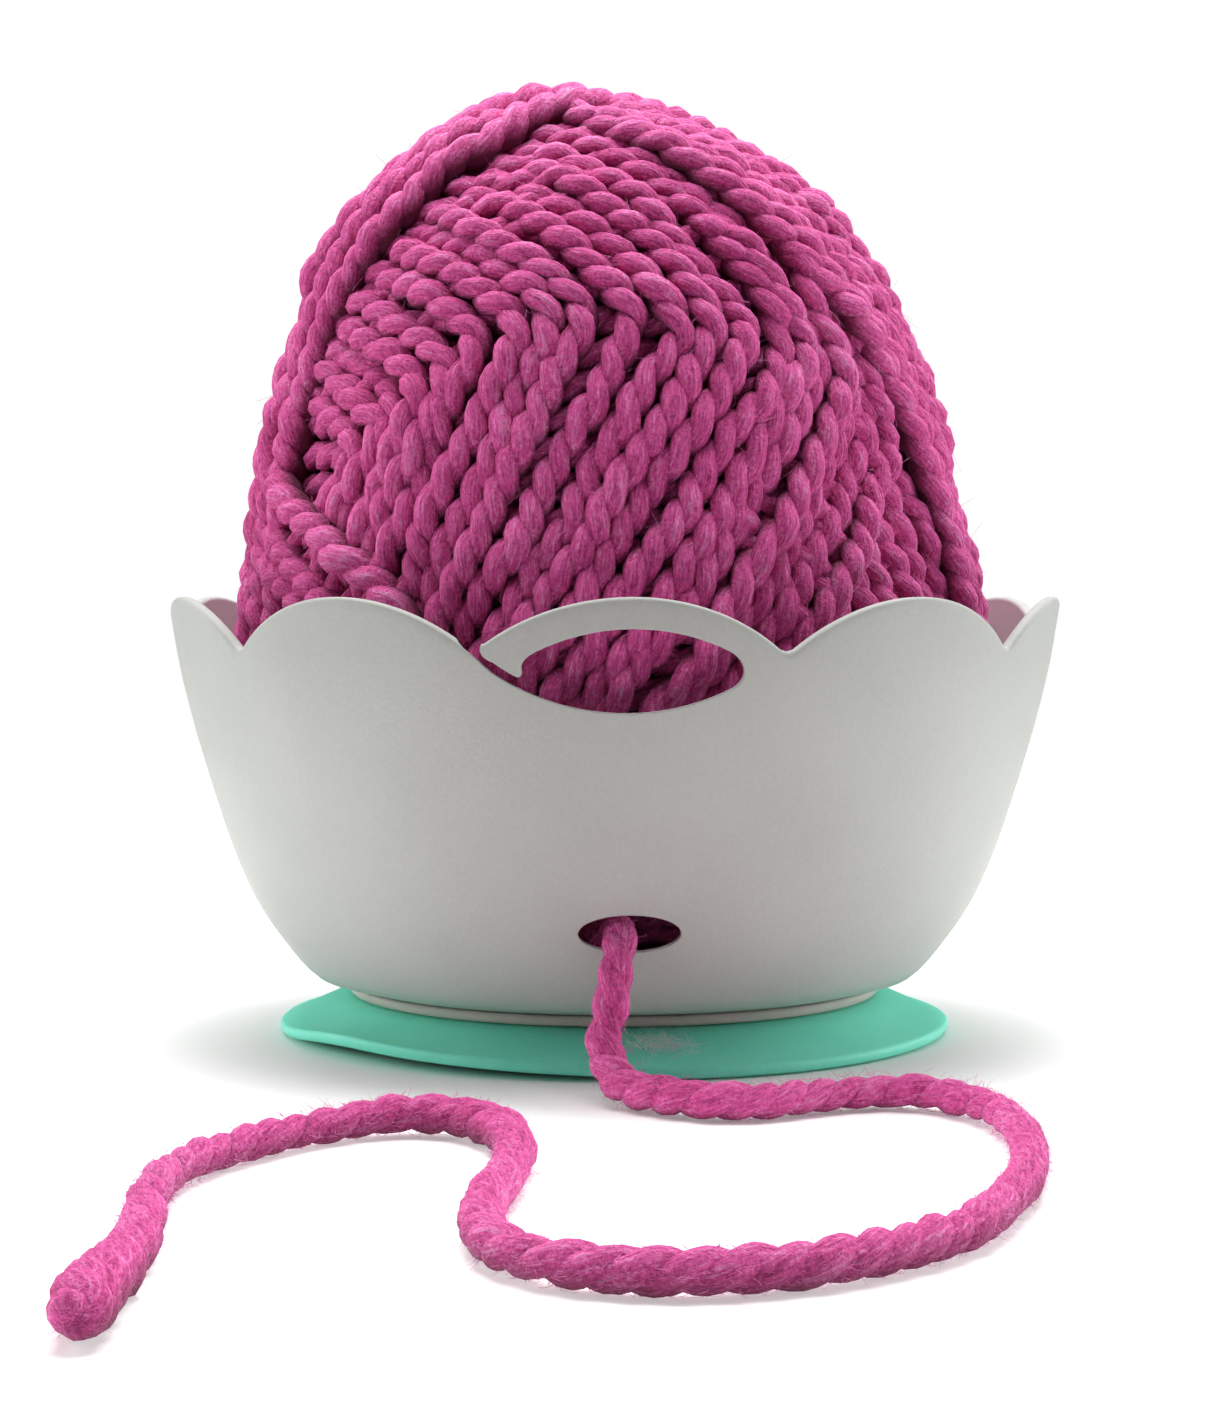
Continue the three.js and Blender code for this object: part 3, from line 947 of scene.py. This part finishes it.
# %% Cut the hook and the outlet
CUT_FRONT, CUT_BACK = -93.0, -48.0
WELD_DISTANCE = 0.02 * MM
SHORTEST_EDGE = 0.01 * MM


def front_cutter(name, outline):
    bm = bmesh.new()
    face = bm.faces.new([bm.verts.new((x * MM, CUT_FRONT * MM, z * MM)) for x, z in outline])
    grown = bmesh.ops.extrude_face_region(bm, geom=[face])
    moved = [v for v in grown["geom"] if isinstance(v, bmesh.types.BMVert)]
    bmesh.ops.translate(bm, verts=moved, vec=(0, (CUT_BACK - CUT_FRONT) * MM, 0))
    bmesh.ops.recalc_face_normals(bm, faces=bm.faces)
    mesh = bpy.data.meshes.new(name)
    bm.to_mesh(mesh)
    bm.free()
    return link(name, mesh)


def cut(piece, cutters):
    for cutter in cutters:
        modifier = piece.modifiers.new("cut", "BOOLEAN")
        modifier.operation = "DIFFERENCE"
        modifier.solver = "EXACT"
        modifier.object = cutter
    bpy.context.view_layer.update()
    evaluated = piece.evaluated_get(bpy.context.evaluated_depsgraph_get())
    mesh = bpy.data.meshes.new_from_object(evaluated)
    piece.modifiers.clear()
    piece.data = mesh
    for cutter in cutters:
        bpy.data.objects.remove(cutter)


def clean_cut(piece):
    bm = bmesh.new()
    bm.from_mesh(piece.data)
    bmesh.ops.remove_doubles(bm, verts=bm.verts, dist=WELD_DISTANCE)
    bmesh.ops.dissolve_degenerate(bm, edges=bm.edges, dist=SHORTEST_EDGE)
    bm.to_mesh(piece.data)
    print("the cut shell has", len(bm.faces), "faces")
    bm.free()


cut(shell, [front_cutter("hook_cutter", hook_outline()), front_cutter("outlet_cutter", oval_outline())])
clean_cut(shell)

# %% [markdown]
# ## The plastics
# The shell is a pale grey and the ring a warmer one, both moulded in a tool with a very fine spark
# texture: satin, never glossy, and a little uneven in tone over a few centimetres. A painted image could
# carry that, but noise has no seams and stays sharp close up. The Bevel node turns the shading round every
# sharp edge.

# %% Plastics
EDGE_ROUND = 0.35 * MM
GRAIN_DEPTH = 0.05 * MM


def moulded_plastic(name, dark, light, roughness):
    plastic = Nodes(name)
    plastic.set("Specular IOR Level", 0.35)
    here = plastic.object_coords()
    grain = plastic.noise(here, 1500, detail=3, roughness=0.6)
    cloud = plastic.noise(here, 35, detail=2)
    plastic.set("Base Color", plastic.ramp(grain * 0.5 + cloud * 0.5, (0.35, dark), (0.65, light)))
    plastic.set("Roughness", (grain * 0.16 + (roughness - 0.08)).clamp(0, 1))
    rounded = plastic.add("ShaderNodeBevel", {"samples": 4}, {"Radius": EDGE_ROUND}, output="Normal")
    plastic.set("Normal", plastic.bump(grain, GRAIN_DEPTH, rounded))
    return plastic.material


shell_plastic = moulded_plastic("pale_grey_plastic", (0.465, 0.48, 0.45, 1), (0.52, 0.535, 0.505, 1), 0.55)
ring_plastic = moulded_plastic("warm_grey_plastic", (0.51, 0.48, 0.43, 1), (0.57, 0.54, 0.49, 1), 0.5)
print("each plastic has", len(ring_plastic.node_tree.nodes), "nodes")
finished(shell, shell_plastic, "bowl", "bowl", crease=38)

# %% [markdown]
# ## The foot
# The ring between bowl and foot is a plain turned section with broken edges. The silicone foot is a soft,
# flat cone that grips the table. A sculpted disc would never run true, so it is spun too, and then its rim
# is lifted a little, most of all at the front left, where the suction has let go.

# %% Foot ring and suction base
RING_OUTER, RING_INNER = 45.4, 42.6
RING_BOTTOM, RING_TOP = 6.5, UNDERSIDE - 0.3
BASE_RADIUS = 57.4
RING_CHAMFER = 0.25
BASE_TOP = [(45.6, 6.15), (47.5, 5.7), (51, 4.2), (54, 2.85), (56.2, 2.0)]
LIFT_START = 47
LIFTS = [  # angle from the front, spread, height
    (-54, 17, 2.0), (-30, 18, 1.2), (-8, 14, 0.5), (70, 25, 0.35),
]


def ring_profile():
    edge = RING_CHAMFER
    return [(RING_INNER, RING_BOTTOM), (RING_OUTER - edge, RING_BOTTOM), (RING_OUTER, RING_BOTTOM + edge),
            (RING_OUTER, RING_TOP - edge), (RING_OUTER - edge, RING_TOP), (RING_INNER, RING_TOP),
            (RING_INNER, RING_BOTTOM)]


def base_profile():
    plug = [(0, RING_TOP), (42.0, RING_TOP), (42.2, RING_TOP - 0.2), (42.2, 6.2), (45.0, 6.2)]
    top = curve_through([(r, 0, z) for r, z in BASE_TOP], 0.5 * MM)
    top = [(x / MM, z / MM) for x, _, z in top]
    rim = [(56.9, 1.85), (BASE_RADIUS - 0.1, 1.5), (BASE_RADIUS, 1.0)]
    rim += [(BASE_RADIUS - 0.15, 0.45), (56.9, 0.05)]
    under = [(51, 0.0), (49.5, 0.5), (47, 1.2), (30, 2.5), (0, 3.2)]
    return plug + top + rim + under


def lift_rim(mesh):
    for vert in mesh.vertices:
        x, y, z = vert.co / MM
        radius = math.hypot(x, y)
        share = max(0.0, (radius - LIFT_START) / (BASE_RADIUS - LIFT_START)) ** 2
        angle = math.degrees(math.atan2(x, -y))
        lift = sum(height * math.exp(-((angle - at) / spread) ** 2) for at, spread, height in LIFTS)
        vert.co.z += lift * share * MM


ring_mesh = spin_profile("foot_ring_turned", ring_profile(), 256)
finished(link("foot_ring_turned", ring_mesh), ring_plastic, "bowl", "foot_ring", crease=60)
base_mesh = spin_profile("suction_base_silicone", base_profile(), 256)
lift_rim(base_mesh)
base = link("suction_base_silicone", base_mesh)
print("the silicone foot has", len(base_mesh.polygons), "faces")

# %% [markdown]
# A small pale wisp of lint clings to the foot in front. It could be drawn in the silicone's colour, but
# its fibres stand off the foot, so each is a fine tube on a random walk over the foot's sloping top.

# %% A wisp of fibres on the foot
WISP_CENTRE = (4.8, -51.2)
WISP_SPREAD = (2.4, 1.2)
WISP_POINTS = 9
WISP_STEP = 0.5
WISP_WIDTH = 0.04 * MM
FOOT_RADII = (46, 47.5, 51, 54, 57)
FOOT_HEIGHTS = (6.1, 5.8, 4.3, 3.0, 2.0)


def wisp_mesh(name, count, seed):
    rng = np.random.default_rng(seed)
    fibres = []
    for _ in range(count):
        start = np.array([*rng.normal(WISP_CENTRE, WISP_SPREAD), 0.0])
        heading = rng.uniform(0, 2 * math.pi)
        steps = heading + np.cumsum(rng.normal(0, 0.6, WISP_POINTS))
        moves = WISP_STEP * np.stack([np.cos(steps), 0.5 * np.sin(steps), 0 * steps], axis=1)
        path = start + np.cumsum(moves, axis=0)
        path[:, 2] = np.interp(np.hypot(path[:, 0], path[:, 1]), FOOT_RADII, FOOT_HEIGHTS)
        path[:, 2] += 0.15 + np.abs(np.cumsum(rng.normal(0, 0.4, WISP_POINTS)))
        fibres.append((path * MM, np.ones(len(path))))
    return tubes(name, fibres, WISP_WIDTH / 2, 0)


pale_fibre = Nodes("pale_fibre", Roughness=0.6)
pale_tint = pale_fibre.noise(pale_fibre.object_coords(), 300)
pale_fibre.set("Base Color", pale_fibre.ramp(pale_tint, (0.4, (0.86, 0.90, 0.87, 1)),
                                             (0.6, (0.95, 0.80, 0.88, 1))))
wisp = link("fibre_wisp", wisp_mesh("fibre_wisp", 130, seed=41))
finished(wisp, pale_fibre.material, "bowl", None)

# %% [markdown]
# ## The silicone
# The foot is a clear mint green. Silicone lets light in a little way, which plain paint would not, so a
# quarter of its light is scattered under the surface, two millimetres deep at most. It is softer and
# shinier than the plastic, and it draws dust, so fine pale specks lie over its colour.

# %% Silicone
def silicone_material():
    silicone = Nodes("mint_silicone", Subsurface_Weight=0.25, Subsurface_Scale=2 * MM)
    silicone.set("Specular IOR Level", 0.4)
    silicone.set("Subsurface Radius", (0.4, 1.0, 0.7))
    here = silicone.object_coords()
    grain = silicone.noise(here, 900, detail=3, roughness=0.6)
    cloud = silicone.noise(here, 45, detail=3)
    dust = silicone.noise(here, 3200, detail=1)
    tone = silicone.ramp(grain * 0.4 + cloud * 0.6, (0.35, (0.20, 0.92, 0.68, 1)),
                         (0.65, (0.25, 0.96, 0.73, 1)))
    specks = silicone.ramp(dust, (0.70, (0, 0, 0, 1)), (0.78, (1, 1, 1, 1)))
    silicone.set("Base Color", silicone.mix(specks * 0.2, tone, (0.75, 0.93, 0.87, 1)))
    silicone.set("Roughness", (grain * 0.2 + 0.42).clamp(0, 1))
    silicone.set("Normal", silicone.bump(grain, 0.03 * MM))
    return silicone.material


finished(base, silicone_material(), "bowl", "suction_base")

# %% [markdown]
# ## Light
# Two large softboxes stand left and right, a little behind the bowl, and a third hangs above. One lamp in
# front would be simpler, but it would flatten the yarn, while side light gives every strand a dark flank.
# A dim white world keeps the deepest shadows from going black.

# %% Light
LIGHT_AIM = Vector((0, 0, 0.07))
WORLD_STRENGTH = 0.03


def soft_light(name, place_at, size, energy):
    """A rectangle of light that looks at the bowl; place and size in metres, energy in watts."""
    data = bpy.data.lights.new(name, "AREA")
    data.shape = "RECTANGLE"
    data.size, data.size_y = size
    data.energy = energy
    lamp = bpy.data.objects.new(name, data)
    lamp.location = place_at
    lamp.rotation_euler = (LIGHT_AIM - Vector(place_at)).to_track_quat("-Z", "Y").to_euler()
    bpy.context.collection.objects.link(lamp)
    print(name, "gives", energy, "W")


soft_light("left_softbox", (-0.80, 0.12, 0.28), (0.9, 0.5), 4.6)
soft_light("right_softbox", (0.80, 0.12, 0.28), (0.9, 0.5), 4.9)
soft_light("top_softbox", (0, 0.10, 0.60), (0.6, 0.6), 7.2)

world = bpy.data.worlds.new("studio")
world.use_nodes = True
background = world.node_tree.nodes["Background"]
background.inputs["Color"].default_value = (1, 1, 1, 1)
background.inputs["Strength"].default_value = WORLD_STRENGTH
bpy.context.scene.world = world
bpy.context.scene.view_settings.view_transform = "Standard"

# %% [markdown]
# ## The ground
# The floor is pale paper that glows. Close round the foot the glow is faint painted light, which pales the
# shadows there and lights the bowl from below; further out it glows brighter, as a sweep does under its own
# lamps, and a white dome closes the view beyond it. One great white floor would light the bowl's front from
# below, so the sweep and the dome are seen but light nothing.

# %% Paper floor, sweep and dome
FLOOR_RADIUS = 300.0
SWEEP_RADIUS = 950.0
FLOOR_HEIGHT = -0.2
DOME_RADIUS = 4000
# From 0.11 m out the glow is painted light that pales the floor's shadows and lights the bowl from below.
GLOW = [(0.07, 0), (0.11, 0.38), (0.28, 0.45), (0.70, 0.80)]  # metres from the middle, strength


def paper_material():
    paper = Nodes("pale_floor", Roughness=0.9, Emission_Strength=1.0)
    paper.set("Base Color", (0.88, 0.88, 0.88, 1))
    here = paper.object_coords()
    reach = paper.add("ShaderNodeVectorMath", {"operation": "LENGTH"}, {0: here}, output="Value")
    paper.set("Emission Color", paper.ramp(reach, *((at, (glow, glow, glow, 1)) for at, glow in GLOW)))
    return paper.material


def staged(name, mesh, material, lights_others):
    """Scenery that is seen, but lights the object only if lights_others says so."""
    mesh.materials.append(material)
    scenery = link(name, mesh)
    for rays in ("diffuse", "glossy", "transmission", "volume_scatter", "shadow"):
        setattr(scenery, "visible_" + rays, lights_others)
    print(name, "is staged")


paper = paper_material()
white = Nodes("white_dome", Emission_Strength=1.0)
white.set("Base Color", (0, 0, 0, 1))
white.set("Emission Color", (1, 1, 1, 1))
near = [(0, FLOOR_HEIGHT), (FLOOR_RADIUS, FLOOR_HEIGHT)]
far = [(FLOOR_RADIUS, FLOOR_HEIGHT), (SWEEP_RADIUS, FLOOR_HEIGHT)]
dome_angles = [math.radians(a) for a in range(0, 181, 6)]
half_circle = [(DOME_RADIUS * math.sin(a), -DOME_RADIUS * math.cos(a)) for a in dome_angles]
staged("floor", spin_profile("floor", near, 96), paper, True)
staged("sweep", spin_profile("sweep", far, 96), paper, False)
staged("dome", spin_profile("dome", half_circle, 64), white.material, False)
